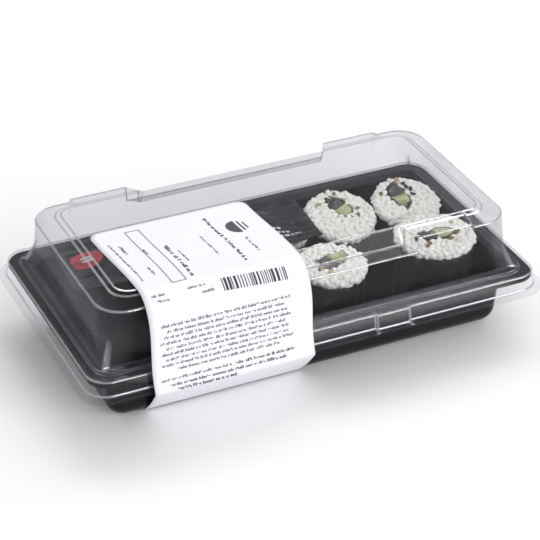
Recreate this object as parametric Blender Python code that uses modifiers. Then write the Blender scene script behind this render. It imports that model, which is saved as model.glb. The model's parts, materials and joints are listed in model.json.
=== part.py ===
"""A shut takeaway sushi tray: black tray, clear lid, band label, sauce sachet and six cucumber rolls.

Metres, +Z up. X runs along the long side, Y to the back, and the origin is under the middle of the
pack. The tray stands on the foot ring round its raised floor, the lid's rim grips the tray's rim, and
the label is wrapped from the lid's top over the front and under the tray's bottom edge.
"""

import math
from dataclasses import dataclass

import bmesh
import bpy
from mathutils import Matrix, Vector

MM = 0.001
WALL = 0.5 * MM          # formed plastic
GAP = 0.3 * MM           # clearance between pieces that touch

# Tray, measured on its outer face
TRAY_LENGTH, TRAY_WIDTH = 188.8 * MM, 102.2 * MM
TRAY_RIM_Z = 27.5 * MM
TRAY_RIM_STEP = 0.6 * MM
TRAY_RIM_CORNER = 7.8 * MM
BODY_LENGTH, BODY_WIDTH = 172.0 * MM, 84.0 * MM
BODY_DRAFT = 2.0 * MM
BODY_CORNER = 6.0 * MM
FOOT_FILLET = 8.0 * MM
FOOT_FLAT = 2.5 * MM
FLOOR_RISE = 6.0 * MM

# Lid, measured on its outer face
LID_RIM_Z = 28.8 * MM
LID_LENGTH, LID_WIDTH = 190.6 * MM, 104.0 * MM
LID_BASE_LENGTH, LID_BASE_WIDTH = 176.0 * MM, 87.6 * MM
LID_CORNER = 11.5 * MM
FLARE_Z = 39.2 * MM      # the flared corner gussets die out here
SHOULDER_LENGTH, SHOULDER_WIDTH = 173.2 * MM, 85.0 * MM
SHOULDER_Z = 50.8 * MM
PANEL_LENGTH, PANEL_WIDTH = 154.0 * MM, 67.6 * MM
PANEL_Z = 53.65 * MM
PANEL_CORNER = 6.0 * MM
LUG_END = 68.3 * MM      # raised pads on the long shoulders, from the recess out to here
LUG_Z = 52.2 * MM
RECESS_LEDGE_Z = 46.8 * MM
RECESS_EDGE_Z = 45.7 * MM
SKIRT_Z = 22.3 * MM
LIP_Z = 21.1 * MM
LIP_REACH = 3.8 * MM
TAB_START, TAB_END = 21.8 * MM, 35.8 * MM
TAB_PROUD = 0.9 * MM
STEP = 0.6 * MM          # run of the steep end faces of pads, recess and tab
CORNER_STEPS = 6

# Paper label
PAPER = 0.3 * MM
LABEL_CORNER = 4.0 * MM
LABEL_HALF = 32.9 * MM
LABEL_BACK_Y = 9.3 * MM
LABEL_PITCH = 6.1 * MM
LABEL_PROUD = 0.45 * MM  # how far the paper stands off the lid's lip
LABEL_COLUMNS = 6
LABEL_DRIFT = [(0.0, -40.3), (43.0, -37.3), (81.0, -40.1), (112.0, -37.0)]  # mm along, middle in X
LABEL_BULGE = [(-37.8, 54.0), (-41.8, 53.0), (-45.6, 50.9), (-49.0, 47.8), (-51.6, 43.6), (-53.3, 38.0)]
LABEL_END_TURNS = (42.0, 50.0, 58.0)
MIDDLE_Y = (LABEL_PROUD + PAPER) / 2   # the label is proud in front, so the tray sits this far back

# Sauce sachet
SACHET_LENGTH, SACHET_WIDTH = 104.0 * MM, 30.0 * MM
SACHET_BULGE = 2.6 * MM
SACHET_FILM = 0.5 * MM
SACHET_SEAL = 6.0 * MM
SACHET_SWELL_RUN = 14.0 * MM
SACHET_LIFT = 3.4 * MM   # how much higher its right end lies
SACHET_PLACE = (-28.2 * MM, 15.7 * MM, 33.5 * MM)
SACHET_TURN = -3.3
SACHET_COLUMNS, SACHET_ROWS = 22, 8

# Rolls
NORI = 0.4 * MM
GRAIN = 2.6 * MM
DENT = 1.1 * MM
WRAP_DROP = 2.6 * MM     # the nori ends this far below the rice
FILLING_WIDE = 8.4 * MM
FILLING_PROUD = 0.5 * MM
FILLING_STEPS = 8
ROLL_FLOOR_Z = FLOOR_RISE + WALL + GAP
ROLL_STEPS = 34


@dataclass(frozen=True)
class Level:
    """One ring round the lid or the tray: a rounded rectangle at one height.

    On the lid's long sides the pad and the recess have a width and height of their own, the recess
    ends at recess_end, and flare squares the corner: 1 is square, 0 leaves the arc alone.
    """

    length: float
    width: float
    z: float
    corner: float
    flare: float = 0.0
    lug: tuple = None
    recess: tuple = None
    recess_end: float = 44.0 * MM
    tab: float = 0.0


@dataclass(frozen=True)
class Filling:
    """Where a roll's filling sits off its middle, how long its oval is and how far it is turned."""

    right: float
    back: float
    length: float
    turn: float


@dataclass(frozen=True)
class Roll:
    """One roll: middle of its top face, radius, lean towards the front and filling, in mm and degrees."""

    name: str
    x: float
    y: float
    top: float
    radius: float
    lean: float
    filling: Filling


ROLLS = [
    Roll("back_left", 8.6, 15.0, 31.8, 13.7, 0.0, Filling(0.0, 2.0, 13.0, 20.0)),
    Roll("back_middle", 38.6, 13.2, 34.0, 14.3, 14.0, Filling(1.5, 4.2, 14.0, 25.0)),
    Roll("back_right", 68.8, 12.2, 33.6, 13.7, 17.0, Filling(-1.5, 4.2, 15.0, 4.0)),
    Roll("front_left", -11.0, -17.2, 32.0, 13.7, 0.0, Filling(0.0, 1.5, 13.0, -30.0)),
    Roll("front_middle", 18.5, -19.4, 34.0, 13.6, 5.0, Filling(1.3, 1.5, 16.0, 116.0)),
    Roll("front_right", 65.0, -18.8, 35.8, 16.0, 0.0, Filling(0.3, -0.5, 17.0, 84.0)),
]

FINISHES = {
    "black_plastic": ((0.012, 0.012, 0.013), 0.12, 1.0),
    "clear_plastic": ((0.90, 0.91, 0.93), 0.05, 0.3),
    "paper": ((0.86, 0.86, 0.90), 0.6, 1.0),
    "sachet_film": ((0.05, 0.05, 0.055), 0.3, 1.0),
    "rice": ((0.78, 0.78, 0.72), 0.5, 1.0),
    "nori": ((0.012, 0.015, 0.010), 0.45, 1.0),
    "cucumber": ((0.45, 0.55, 0.22), 0.35, 1.0),
}


def clear_scene():
    """Remove every object that the scene starts with."""
    for item in list(bpy.data.objects):
        bpy.data.objects.remove(item, do_unlink=True)


def new_collection(name):
    """Make a collection in the scene."""
    made = bpy.data.collections.new(name)
    bpy.context.scene.collection.children.link(made)
    return made


def finish(name):
    """Return the Principled material of one of the FINISHES."""
    if name in bpy.data.materials:
        return bpy.data.materials[name]
    colour, roughness, alpha = FINISHES[name]
    made = bpy.data.materials.new(name)
    made.use_nodes = True
    shader = made.node_tree.nodes["Principled BSDF"]
    shader.inputs["Base Color"].default_value = (*colour, 1.0)
    shader.inputs["Roughness"].default_value = roughness
    shader.inputs["Metallic"].default_value = 0.0
    shader.inputs["Alpha"].default_value = alpha
    return made


def add_object(name, data, collection, parent, material):
    """Link an object with its material under its parent."""
    made = bpy.data.objects.new(name, data)
    collection.objects.link(made)
    made.parent = parent
    if material:
        data.materials.append(finish(material))
    return made


def add_empty(name, collection, parent, place):
    """Add an empty that carries the pieces of one sub-assembly."""
    made = bpy.data.objects.new(name, None)
    collection.objects.link(made)
    made.parent = parent
    made.matrix_basis = place
    return made


def corner_points(level, quadrant):
    """Points round one corner of a ring, anticlockwise, with the flare's square corner."""
    side_x, side_y = ((1, 1), (-1, 1), (-1, -1), (1, -1))[quadrant]
    centre_x = side_x * (level.length / 2 - level.corner)
    centre_y = side_y * (level.width / 2 - level.corner)
    inset = level.corner * (1 - math.sqrt(0.5)) * (1 - level.flare)
    points = []
    for step in range(CORNER_STEPS + 1):
        angle = math.radians(90 * (quadrant + step / CORNER_STEPS))
        reach = level.corner
        if level.flare > 0:
            square = (level.corner - inset) / max(abs(math.cos(angle)), abs(math.sin(angle)))
            reach = max(reach, square)
        points.append((centre_x + reach * math.cos(angle), centre_y + reach * math.sin(angle), level.z))
    return points


def long_side(level, side_y):
    """Points along one long side of the lid, from its left end to its right."""
    tab = level.tab if side_y < 0 else 0.0
    plain = (level.width / 2, level.z)
    lug = level.lug or plain
    recess = level.recess or plain
    proud = (recess[0] + tab, recess[1])
    right = [
        (TAB_START - STEP, recess),
        (TAB_START, proud),
        (TAB_END, proud),
        (TAB_END + STEP, recess),
        (level.recess_end, recess),
        (level.recess_end + STEP, lug),
        (LUG_END, lug),
        (LUG_END + STEP, plain),
    ]
    left = [(-x, recess if shape is proud else shape) for x, shape in reversed(right)]
    return [(x, side_y * half, z) for x, (half, z) in left + right]


def ring(level, with_sides):
    """All points of one ring, anticlockwise seen from above, starting at the right back corner."""
    points = corner_points(level, 0)
    if with_sides:
        points += reversed(long_side(level, 1))
    points += corner_points(level, 1) + corner_points(level, 2)
    if with_sides:
        points += long_side(level, -1)
    return points + corner_points(level, 3)


def shell(name, levels, with_sides):
    """Loft rings of unlike shape, from the middle outwards, with the first ring filled."""
    mesh = bmesh.new()
    rings = [[mesh.verts.new(point) for point in ring(level, with_sides)] for level in levels]
    mesh.faces.new(rings[0])
    for inner, outer in zip(rings, rings[1:]):
        for i in range(len(inner)):
            j = (i + 1) % len(inner)
            mesh.faces.new((inner[i], outer[i], outer[j], inner[j]))
    made = bpy.data.meshes.new(name)
    mesh.to_mesh(made)
    mesh.free()
    return made


def thicken(item, thickness, offset):
    """Give an open surface its wall."""
    wall = item.modifiers.new("wall", "SOLIDIFY")
    wall.thickness = thickness
    wall.offset = offset
    wall.use_even_offset = False


def tray_levels():
    """The underside of the tray, from the raised floor out to the turned-down rim."""
    foot_length = BODY_LENGTH - 2 * BODY_DRAFT - 2 * FOOT_FILLET
    foot_width = BODY_WIDTH - 2 * BODY_DRAFT - 2 * FOOT_FILLET
    foot_corner = 2.0 * MM
    groove = 2 * FOOT_FLAT
    slope = 2 * (FOOT_FLAT + 1.5 * MM)
    levels = [
        Level(foot_length - slope, foot_width - slope, FLOOR_RISE, 1.0 * MM),
        Level(foot_length - groove, foot_width - groove, 0.0, 1.5 * MM),
        Level(foot_length, foot_width, 0.0, foot_corner),
    ]
    draft_at_fillet = 2 * BODY_DRAFT * FOOT_FILLET / TRAY_RIM_Z
    for turn in (22.5, 45.0, 67.5, 90.0):
        run = math.sin(math.radians(turn))
        grow = (2 * FOOT_FILLET + draft_at_fillet) * run
        z = FOOT_FILLET * (1 - math.cos(math.radians(turn)))
        corner = foot_corner + (BODY_CORNER - foot_corner) * run
        levels.append(Level(foot_length + grow, foot_width + grow, z, corner))
    step_length = BODY_LENGTH + 9.2 * MM
    step_width = BODY_WIDTH + 10.0 * MM
    low = TRAY_RIM_Z - TRAY_RIM_STEP
    levels += [
        Level(BODY_LENGTH, BODY_WIDTH, TRAY_RIM_Z, BODY_CORNER),
        Level(step_length, step_width, TRAY_RIM_Z, TRAY_RIM_CORNER - 1 * MM),
        Level(step_length + 1.2 * MM, step_width + 1.2 * MM, low, TRAY_RIM_CORNER - 1 * MM),
        Level(TRAY_LENGTH, TRAY_WIDTH, low, TRAY_RIM_CORNER),
        Level(TRAY_LENGTH + 0.2 * MM, TRAY_WIDTH + 0.2 * MM, low - 1.4 * MM, TRAY_RIM_CORNER),
    ]
    return levels


def lid_levels():
    """The outside of the lid, from its top panel down to the lip of its skirt."""
    half = SHOULDER_WIDTH / 2
    panel_half = PANEL_WIDTH / 2
    levels = [
        Level(PANEL_LENGTH, PANEL_WIDTH, PANEL_Z, PANEL_CORNER, recess_end=40.2 * MM),
        Level(
            PANEL_LENGTH + 4.4 * MM, PANEL_WIDTH + 4.4 * MM, PANEL_Z - 0.9 * MM, PANEL_CORNER + 1.4 * MM,
            lug=(panel_half + 2.2 * MM, PANEL_Z - 0.5 * MM),
            recess=(panel_half + 3.3 * MM, RECESS_LEDGE_Z), recess_end=40.6 * MM,
        ),
        Level(
            SHOULDER_LENGTH, SHOULDER_WIDTH, SHOULDER_Z, LID_CORNER,
            lug=(half, LUG_Z), recess=(half + 0.3 * MM, RECESS_EDGE_Z),
        ),
    ]
    for flare in (0.0, 0.34, 0.67, 1.0):
        drop = 1 - flare
        rim_z = LID_RIM_Z + (FLARE_Z - LID_RIM_Z) * drop
        fall = (SHOULDER_Z - rim_z) / (SHOULDER_Z - LID_RIM_Z)
        length = SHOULDER_LENGTH + (LID_BASE_LENGTH - SHOULDER_LENGTH) * fall
        width = SHOULDER_WIDTH + (LID_BASE_WIDTH - SHOULDER_WIDTH) * fall
        levels.append(Level(length, width, rim_z, LID_CORNER, flare=flare))
    step_length = BODY_LENGTH + 9.8 * MM
    step_width = BODY_WIDTH + 10.6 * MM
    low = LID_RIM_Z - TRAY_RIM_STEP
    skirt = 1.6 * MM
    corner = TRAY_RIM_CORNER + 0.8 * MM
    levels += [
        Level(step_length, step_width, LID_RIM_Z, corner - 1 * MM),
        Level(step_length + 1.2 * MM, step_width + 1.2 * MM, low, corner - 1 * MM),
        Level(LID_LENGTH, LID_WIDTH, low, corner, tab=TAB_PROUD),
        Level(LID_LENGTH + skirt, LID_WIDTH + skirt, SKIRT_Z, corner + 0.6 * MM, tab=TAB_PROUD),
        Level(LID_LENGTH + 2 * LIP_REACH, LID_WIDTH + 2 * LIP_REACH, LIP_Z, corner + 2.6 * MM),
    ]
    return levels


def label_path():
    """The label's inner face in the YZ plane, as (y, z), from its back edge to its end under the tray."""
    top = PANEL_Z + GAP
    points = [(LABEL_BACK_Y - i * LABEL_PITCH, top) for i in range(8)]
    points += [(y * MM, z * MM) for y, z in LABEL_BULGE]
    lip_y = -(LID_WIDTH / 2 + LIP_REACH)
    points += [(-54.6 * MM, 31.5 * MM), (-55.8 * MM, 25.5 * MM)]
    points += [(lip_y - LABEL_PROUD, LIP_Z + 0.3 * MM), (lip_y - LABEL_PROUD + 0.1 * MM, LIP_Z - 0.7 * MM)]
    centre_y = -(BODY_WIDTH / 2 - BODY_DRAFT - FOOT_FILLET)
    reach_y = FOOT_FILLET * (1 + BODY_DRAFT / TRAY_RIM_Z) + GAP
    reach_z = FOOT_FILLET + GAP
    for turn in LABEL_END_TURNS:
        angle = math.radians(turn)
        points.append((centre_y - reach_y * math.cos(angle), FOOT_FILLET - reach_z * math.sin(angle)))
    return points


def make_label(collection, parent):
    """A paper strip that follows label_path and wanders a little to either side."""
    path = label_path()
    travelled = [0.0]
    for (y0, z0), (y1, z1) in zip(path, path[1:]):
        travelled.append(travelled[-1] + math.hypot(y1 - y0, z1 - z0))
    columns = LABEL_COLUMNS
    mesh = bmesh.new()
    rows = []
    for (y, z), along in zip(path, travelled):
        middle = blend(LABEL_DRIFT, along / MM) * MM
        inside = max(0.0, LABEL_CORNER - along)
        half = LABEL_HALF - (LABEL_CORNER - math.sqrt(LABEL_CORNER**2 - inside**2))
        across = [middle + half * (2 * i / columns - 1) for i in range(columns + 1)]
        rows.append([mesh.verts.new((x, y, z)) for x in across])
    for upper, lower in zip(rows, rows[1:]):
        for i in range(columns):
            mesh.faces.new((upper[i], lower[i], lower[i + 1], upper[i + 1]))
    data = bpy.data.meshes.new("label")
    mesh.to_mesh(data)
    mesh.free()
    label = add_object("label", data, collection, parent, "paper")
    thicken(label, PAPER, 1.0)


def blend(stations, at):
    """Ease smoothly between (place, value) stations."""
    for (start, first), (end, last) in zip(stations, stations[1:]):
        if at <= end:
            share = max(0.0, (at - start) / (end - start))
            ease = share * share * (3 - 2 * share)
            return first + (last - first) * ease
    return stations[-1][1]


def make_sachet(collection, parent):
    """A flat pillow with sealed ends that lies over the rolls on the left and dips towards its left end."""
    mesh = bmesh.new()
    bmesh.ops.create_cube(mesh, size=1.0)
    edges_x = [e for e in mesh.edges if abs(e.verts[0].co.x - e.verts[1].co.x) > 0.5]
    bmesh.ops.subdivide_edges(mesh, edges=edges_x, cuts=SACHET_COLUMNS - 1, use_grid_fill=True)
    edges_y = [e for e in mesh.edges if abs(e.verts[0].co.y - e.verts[1].co.y) > 0.5]
    bmesh.ops.subdivide_edges(mesh, edges=edges_y, cuts=SACHET_ROWS - 1, use_grid_fill=True)
    for vert in mesh.verts:
        along, across, side = vert.co.x, vert.co.y, vert.co.z
        from_end = (0.5 - abs(along)) * SACHET_LENGTH
        swell = min(1.0, max(0.0, (from_end - SACHET_SEAL) / SACHET_SWELL_RUN))
        swell = swell * swell * (3 - 2 * swell) * max(0.0, 1 - (abs(across) * 2.25) ** 2)
        lift = SACHET_LIFT * (0.5 + along) ** 2
        vert.co.x = along * SACHET_LENGTH
        vert.co.y = across * SACHET_WIDTH * (1 - 0.04 * swell)
        vert.co.z = side * SACHET_FILM + math.copysign(SACHET_BULGE, side) * swell + lift
    data = bpy.data.meshes.new("sachet")
    mesh.to_mesh(data)
    mesh.free()
    sachet = add_object("sachet", data, collection, parent, "sachet_film")
    sachet.location = SACHET_PLACE
    sachet.rotation_euler = (0.0, 0.0, math.radians(SACHET_TURN))


def turned(name, profile, collection, parent, material):
    """A turned body: its profile of (radius, z) points is spun about the axis."""
    mesh = bmesh.new()
    verts = [mesh.verts.new((radius, 0.0, z)) for radius, z in profile]
    for first, second in zip(verts, verts[1:]):
        mesh.edges.new((first, second))
    if profile[0][0] > 0:
        mesh.edges.new((verts[-1], verts[0]))
    data = bpy.data.meshes.new(name)
    mesh.to_mesh(data)
    mesh.free()
    body = add_object(name, data, collection, parent, material)
    spin = body.modifiers.new("spin", "SCREW")
    spin.steps = ROLL_STEPS
    spin.render_steps = ROLL_STEPS
    spin.use_merge_vertices = True
    spin.merge_threshold = 0.00005
    return body


def filling_outline(long, wide, part):
    """Half of the filling's oval, as (x, y): part 1 is the back half and -1 the front half."""
    points = []
    for step in range(FILLING_STEPS + 1):
        angle = math.pi * step / FILLING_STEPS
        y = GAP / 2 + (long / 2 - GAP / 2) * math.sin(angle)
        points.append((wide / 2 * math.cos(angle), part * y))
    return points if part > 0 else points[::-1]


def prism(name, outline, bottom, top, collection, parent, material):
    """A flat outline, filled and extruded upright between two heights, as a mesh object."""
    curve = bpy.data.curves.new(name, "CURVE")
    curve.dimensions = "2D"
    curve.fill_mode = "BOTH"
    curve.extrude = (top - bottom) / 2
    spline = curve.splines.new("POLY")
    spline.points.add(len(outline) - 1)
    for point, (x, y) in zip(spline.points, outline):
        point.co = (x, y, 0.0, 1.0)
    spline.use_cyclic_u = True
    flat = bpy.data.objects.new(name + "_curve", curve)
    collection.objects.link(flat)
    bpy.context.view_layer.update()
    data = bpy.data.meshes.new_from_object(flat.evaluated_get(bpy.context.evaluated_depsgraph_get()))
    bpy.data.objects.remove(flat, do_unlink=True)
    mesh = bmesh.new()
    mesh.from_mesh(data)
    bmesh.ops.remove_doubles(mesh, verts=mesh.verts, dist=0.00001)
    bmesh.ops.translate(mesh, verts=mesh.verts, vec=Vector((0, 0, (top + bottom) / 2)))
    mesh.to_mesh(data)
    mesh.free()
    data.name = name
    return add_object(name, data, collection, parent, material)


def rice_profile(radius, height):
    """Outline of the rice from the axis over the top face, down the side and back under."""
    inside = radius - NORI - GAP
    wrap_top = height - 2.2 * MM
    rings = [(0.0, height - 0.2 * MM)]
    rings += [(share * radius, height) for share in (0.16, 0.32, 0.48, 0.64, 0.79)]
    rings += [(0.91 * radius, height - 0.4 * MM), (0.99 * radius, height - 1.2 * MM)]
    rings += [(0.97 * radius, wrap_top + 0.05 * MM), (inside, wrap_top), (inside, 1.0 * MM)]
    return rings + [(inside - 1.0 * MM, 0.0), (0.0, 0.0)]


def make_roll(roll, grains, collection, cutters, parent):
    """Rice with a grainy top, a nori wrap round it, and a filling that runs through from top to bottom."""
    radius = roll.radius * MM
    lean = math.radians(roll.lean)
    lowest = roll.top * MM - radius * math.sin(lean) - ROLL_FLOOR_Z
    height = lowest / math.cos(lean)
    place = Matrix.Translation((roll.x * MM, roll.y * MM, roll.top * MM)) @ Matrix.Rotation(lean, 4, "X")
    place = place @ Matrix.Translation((0, 0, -height))
    stand = add_empty("roll_" + roll.name, collection, parent, place)

    rice = turned("rice_" + roll.name, rice_profile(radius, height), collection, stand, "rice")
    group = rice.vertex_groups.new(name="grainy")
    top = [v.index for v in rice.data.vertices if v.co.z > height - 2.0 * MM]
    group.add(top, 1.0, "REPLACE")
    bumps = rice.modifiers.new("grains", "DISPLACE")
    bumps.texture = grains
    bumps.texture_coords = "GLOBAL"
    bumps.vertex_group = "grainy"
    bumps.mid_level = 0.5
    bumps.strength = -DENT

    inside = radius - NORI
    wrap_top = height - WRAP_DROP
    wrap = [(inside, wrap_top), (radius, wrap_top), (radius, 0.0), (inside, 0.0)]
    turned("nori_" + roll.name, wrap, collection, stand, "nori")

    middle = Matrix.Translation((roll.filling.right * MM, roll.filling.back * MM, 0))
    middle = middle @ Matrix.Rotation(math.radians(roll.filling.turn), 4, "Z")
    core = add_empty("filling_" + roll.name, collection, stand, middle)
    long, wide = roll.filling.length * MM, FILLING_WIDE
    top_z = height + FILLING_PROUD
    back = filling_outline(long, wide, 1)
    front = filling_outline(long, wide, -1)
    prism("fold_" + roll.name, back, 0.0, top_z, collection, core, "nori")
    prism("cucumber_" + roll.name, front, 0.0, top_z, collection, core, "cucumber")
    slot_outline = filling_outline(long + 2 * GAP, wide + 2 * GAP, 1)
    slot_outline = [(x, max(y, 0.0)) for x, y in slot_outline]
    slot_outline += [(-x, -y) for x, y in slot_outline[1:-1]]
    slot = prism("slot_" + roll.name, slot_outline, -5 * MM, height + 5 * MM, cutters, core, None)
    slot.hide_render = True
    slot.display_type = "WIRE"
    cut = rice.modifiers.new("slot", "BOOLEAN")
    cut.object = slot
    cut.operation = "DIFFERENCE"


def main():
    """Build the pack."""
    clear_scene()
    pieces = new_collection("takeaway_sushi_tray")
    cutters = new_collection("cutters")
    pack = add_empty("pack", pieces, None, Matrix.Translation((0, MIDDLE_Y, 0)))

    tray = add_object("tray", shell("tray", tray_levels(), False), pieces, pack, "black_plastic")
    thicken(tray, WALL, 1.0)
    lid = add_object("lid", shell("lid", lid_levels(), True), pieces, pack, "clear_plastic")
    thicken(lid, WALL, -1.0)
    make_label(pieces, pack)
    make_sachet(pieces, pack)

    grains = bpy.data.textures.new("grains", "VORONOI")
    grains.noise_scale = GRAIN
    for roll in ROLLS:
        make_roll(roll, grains, pieces, cutters, pack)


main()
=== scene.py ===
"""The looks of a shut takeaway sushi tray: black tray, clear lid, paper band, sauce sachet and rolls.

Metres, +Z up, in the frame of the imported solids. X runs along the long side and Y to the back. Each
sub-assembly is a class that holds its sizes, builds its meshes and dresses them.
"""

import json
import logging
import math
import random
from dataclasses import dataclass, field
from enum import Enum
from typing import Callable

import bmesh
import bpy
from mathutils import Matrix, Vector, noise

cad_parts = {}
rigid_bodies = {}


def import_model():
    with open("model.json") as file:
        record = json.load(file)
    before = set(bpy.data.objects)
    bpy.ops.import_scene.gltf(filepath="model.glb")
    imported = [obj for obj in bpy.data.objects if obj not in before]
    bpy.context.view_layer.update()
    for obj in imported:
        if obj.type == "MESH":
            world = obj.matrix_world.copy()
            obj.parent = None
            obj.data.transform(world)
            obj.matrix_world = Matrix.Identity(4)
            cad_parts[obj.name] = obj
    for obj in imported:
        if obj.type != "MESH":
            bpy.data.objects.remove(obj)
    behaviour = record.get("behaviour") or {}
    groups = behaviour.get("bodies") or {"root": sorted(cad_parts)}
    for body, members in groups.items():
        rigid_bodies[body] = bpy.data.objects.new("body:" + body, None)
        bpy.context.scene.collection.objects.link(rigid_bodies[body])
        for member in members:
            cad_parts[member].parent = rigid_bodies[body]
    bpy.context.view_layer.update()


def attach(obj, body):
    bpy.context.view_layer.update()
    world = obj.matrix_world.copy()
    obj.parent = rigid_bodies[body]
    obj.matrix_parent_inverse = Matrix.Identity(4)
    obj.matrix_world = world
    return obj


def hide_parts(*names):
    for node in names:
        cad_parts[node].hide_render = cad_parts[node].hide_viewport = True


MM = 0.001
BODY = "root"
MIDDLE_Y = 0.375 * MM      # the tray sits this far behind the middle of the whole pack
GAP = 0.3 * MM
WELD = 1e-6
FOLD = "fold"              # mesh attribute: where the sheet folds; it mirrors more there and takes painted shade
REFLECTION_VEIL = "veil"              # mesh attribute: how much painted reflection, as a pale milky haze, the sheet shows there

log = logging.getLogger("sushi_tray")


class Tone(Enum):
    """Colour of a sesame seed."""

    TAN = "tan"
    BROWN = "brown"
    BLACK = "black"


class Side(Enum):
    """Which half of a roll's filling a piece is."""

    BACK = 1
    FRONT = -1


class Socket:
    """A shader socket whose arithmetic adds Math nodes to its tree."""

    def __init__(self, nodes: "Nodes", out: bpy.types.NodeSocket) -> None:
        """Wrap an output socket of a tree."""
        self.nodes = nodes
        self.out = out

    def math(self, operation: str, *values: "Socket | float") -> "Socket":
        """Return the result of a Math node that takes the values in order."""
        return self.nodes.add("ShaderNodeMath", {"operation": operation}, dict(enumerate(values)))

    def __add__(self, other: "Socket | float") -> "Socket":
        """Return self + other."""
        return self.math("ADD", self, other)

    def __radd__(self, other: float) -> "Socket":
        """Return other + self."""
        return self.math("ADD", other, self)

    def __mul__(self, other: "Socket | float") -> "Socket":
        """Return self * other."""
        return self.math("MULTIPLY", self, other)

    def __rmul__(self, other: float) -> "Socket":
        """Return other * self."""
        return self.math("MULTIPLY", other, self)

    def __pow__(self, other: float) -> "Socket":
        """Return self to the power of other."""
        return self.math("POWER", self, other)


class Nodes:
    """A node tree whose nodes all come from one method."""

    def __init__(self, tree: bpy.types.NodeTree) -> None:
        """Wrap a tree."""
        self.tree = tree

    def add(
        self, kind: str, settings: dict | None = None, inputs: dict | None = None, out: int = 0,
    ) -> Socket:
        """Add a node.

        Args:
            kind: the node's type.
            settings: its properties, or for a colour ramp the stops under "stops".
            inputs: values or sockets by input name or number.
            out: number of the output that is wanted.

        Returns:
            The node's output.
        """
        node = self.tree.nodes.new(kind)
        for key, value in (settings or {}).items():
            if key == "stops":
                self.set_stops(node.color_ramp, value)
            else:
                setattr(node, key, value)
        for key, value in (inputs or {}).items():
            if isinstance(value, Socket):
                self.tree.links.new(value.out, node.inputs[key])
            else:
                node.inputs[key].default_value = value
        return Socket(self, node.outputs[out])

    @staticmethod
    def set_stops(ramp: bpy.types.ColorRamp, stops: list[tuple[float, tuple[float, float, float]]]) -> None:
        """Give a colour ramp its stops.

        Args:
            ramp: the ramp.
            stops: places with their colours.
        """
        while len(ramp.elements) < len(stops):
            ramp.elements.new(1.0)
        for element, (place, colour) in zip(ramp.elements, stops):
            element.position = place
            element.color = (*colour, 1.0)


class Shade(Nodes):
    """A material's node tree, with a Principled shader at its end."""

    def __init__(self, name: str) -> None:
        """Make the material.

        Args:
            name: the material's name.
        """
        self.material = bpy.data.materials.new(name)
        self.material.use_nodes = True
        super().__init__(self.material.node_tree)
        self.principled = self.tree.nodes["Principled BSDF"]
        self.output = self.tree.nodes["Material Output"]

    def noise(self, scale: float, detail: float = 2.0) -> Socket:
        """Return noise of so many waves to the metre and octaves, on the piece's own coordinates."""
        coords = self.add("ShaderNodeTexCoord", out=3)
        return self.add("ShaderNodeTexNoise", {}, {"Vector": coords, "Scale": scale, "Detail": detail})

    def blend(self, factor: Socket, first: tuple, second: tuple) -> Socket:
        """Return the first colour mixed with a share of the second."""
        settings = {"data_type": "RGBA"}
        return self.add("ShaderNodeMix", settings, {0: factor, 6: (*first, 1.0), 7: (*second, 1.0)}, out=2)

    def set(self, **values: "Socket | float | tuple") -> None:
        """Set or link the Principled shader's sockets.

        Args:
            values: what each socket gets, by its name with _ for a space.
        """
        for key, value in values.items():
            socket = self.principled.inputs[key.replace("_", " ")]
            if isinstance(value, Socket):
                self.tree.links.new(value.out, socket)
            elif isinstance(value, tuple) and len(value) == 3 and len(socket.default_value) == 4:
                socket.default_value = (*value, 1.0)
            else:
                socket.default_value = value

    def bump(self, height: Socket, distance: float, strength: float = 1.0) -> Socket:
        """Return the normal of a face with bumps, whose height of 1 is the distance in metres."""
        inputs = {"Height": height, "Distance": distance, "Strength": strength}
        return self.add("ShaderNodeBump", {}, inputs)


@dataclass(frozen=True)
class Finish:
    """A finish whose two colours run into each other in soft patches, with a fine bump.

    patches and grain are the scale and detail of the noise behind the colours and behind the bump.
    roughness is its least value and what the noise adds. subsurface is the weight, the reach of each
    colour and the scale. edges are the noise values between which one colour turns into the other.
    """

    name: str
    colour: tuple[float, float, float]
    second: tuple[float, float, float]
    patches: tuple[float, float]
    roughness: tuple[float, float]
    grain: tuple[float, float] = (900.0, 3.0)
    depth: float = 0.0
    specular: float = 0.5
    subsurface: tuple[float, tuple[float, float, float], float] | None = None
    edges: tuple[float, float] | None = None

    def material(self) -> bpy.types.Material:
        """Return the material."""
        shade = Shade(self.name)
        cloud = shade.noise(*self.patches)
        share = cloud
        if self.edges:
            stops = list(zip(self.edges, ((0, 0, 0), (1, 1, 1))))
            share = shade.add("ShaderNodeValToRGB", {"stops": stops}, {0: cloud})
        least, more = self.roughness
        shade.set(Base_Color=shade.blend(share, self.colour, self.second), Roughness=cloud * more + least)
        shade.set(Specular_IOR_Level=self.specular)
        if self.subsurface:
            weight, reach, scale = self.subsurface
            shade.set(Subsurface_Weight=weight, Subsurface_Radius=reach, Subsurface_Scale=scale)
        if self.depth:
            shade.set(Normal=shade.bump(shade.noise(*self.grain), self.depth))
        return shade.material


@dataclass(frozen=True)
class Ink(Finish):
    """Flat print with slightly uneven cover."""

    patches: tuple[float, float] = (900.0, 2.0)
    roughness: tuple[float, float] = (0.4, 0.2)


@dataclass(frozen=True)
class Produce(Finish):
    """Moist cut vegetable, filling or seed."""

    roughness: tuple[float, float] = (0.25, 0.3)
    depth: float = 0.12 * MM
    subsurface: tuple[float, tuple[float, float, float], float] = (0.15, (1.0, 1.0, 0.5), 1.0 * MM)
    edges: tuple[float, float] = (0.38, 0.62)


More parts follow.
